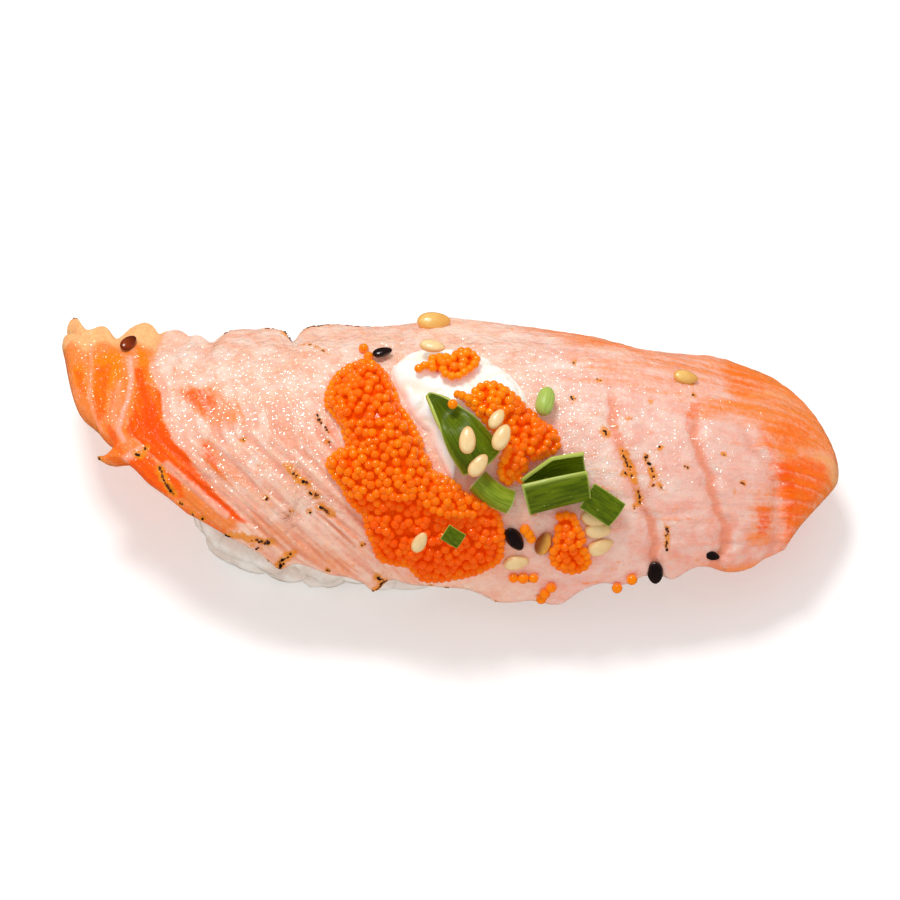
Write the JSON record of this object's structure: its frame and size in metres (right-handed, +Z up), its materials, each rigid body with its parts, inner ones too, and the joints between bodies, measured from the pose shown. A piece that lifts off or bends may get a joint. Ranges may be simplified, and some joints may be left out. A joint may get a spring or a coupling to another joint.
{
  "type": "seared salmon nigiri",
  "caption": "Seared salmon nigiri: a pressed rice ball under a long draped slice of salmon, topped with fish roe, cream, cut scallion and sesame seeds.",
  "frame": {"origin": "a point in the flat underside of the rice, below the ridge of the slice", "axes": "+X along the slice from its tail to its round end, +Y to the back, +Z up out of the plate"},
  "size_m": [0.0907, 0.0369, 0.0267],
  "materials": {
    "rice": "moist cooked rice, white and slightly see-through",
    "salmon": "seared salmon flesh, pale pink with orange bands, wet sheen, small char marks",
    "cream": "thick pale cream, soft gloss",
    "roe": "clear orange roe beads, bright highlights",
    "scallion": "fresh green scallion leaf, fine lengthwise veins, waxy gloss",
    "sesame_white": "hulled sesame seed, cream coloured, waxy",
    "sesame_black": "black and toasted brown sesame seed"
  },
  "bodies": {
    "root": {"rice_ball": "rice", "salmon_slice": "salmon", "cream_dollop": "cream", "roe_main": "roe", "roe_side": "roe", "roe_crest": "roe", "roe_front": "roe", "scallion_leaf": "scallion", "scallion_tube": "scallion", "scallion_slip": "scallion", "scallion_ring": "scallion", "scallion_stub": "scallion", "scallion_chip": "scallion"}
  },
  "joints": []
}
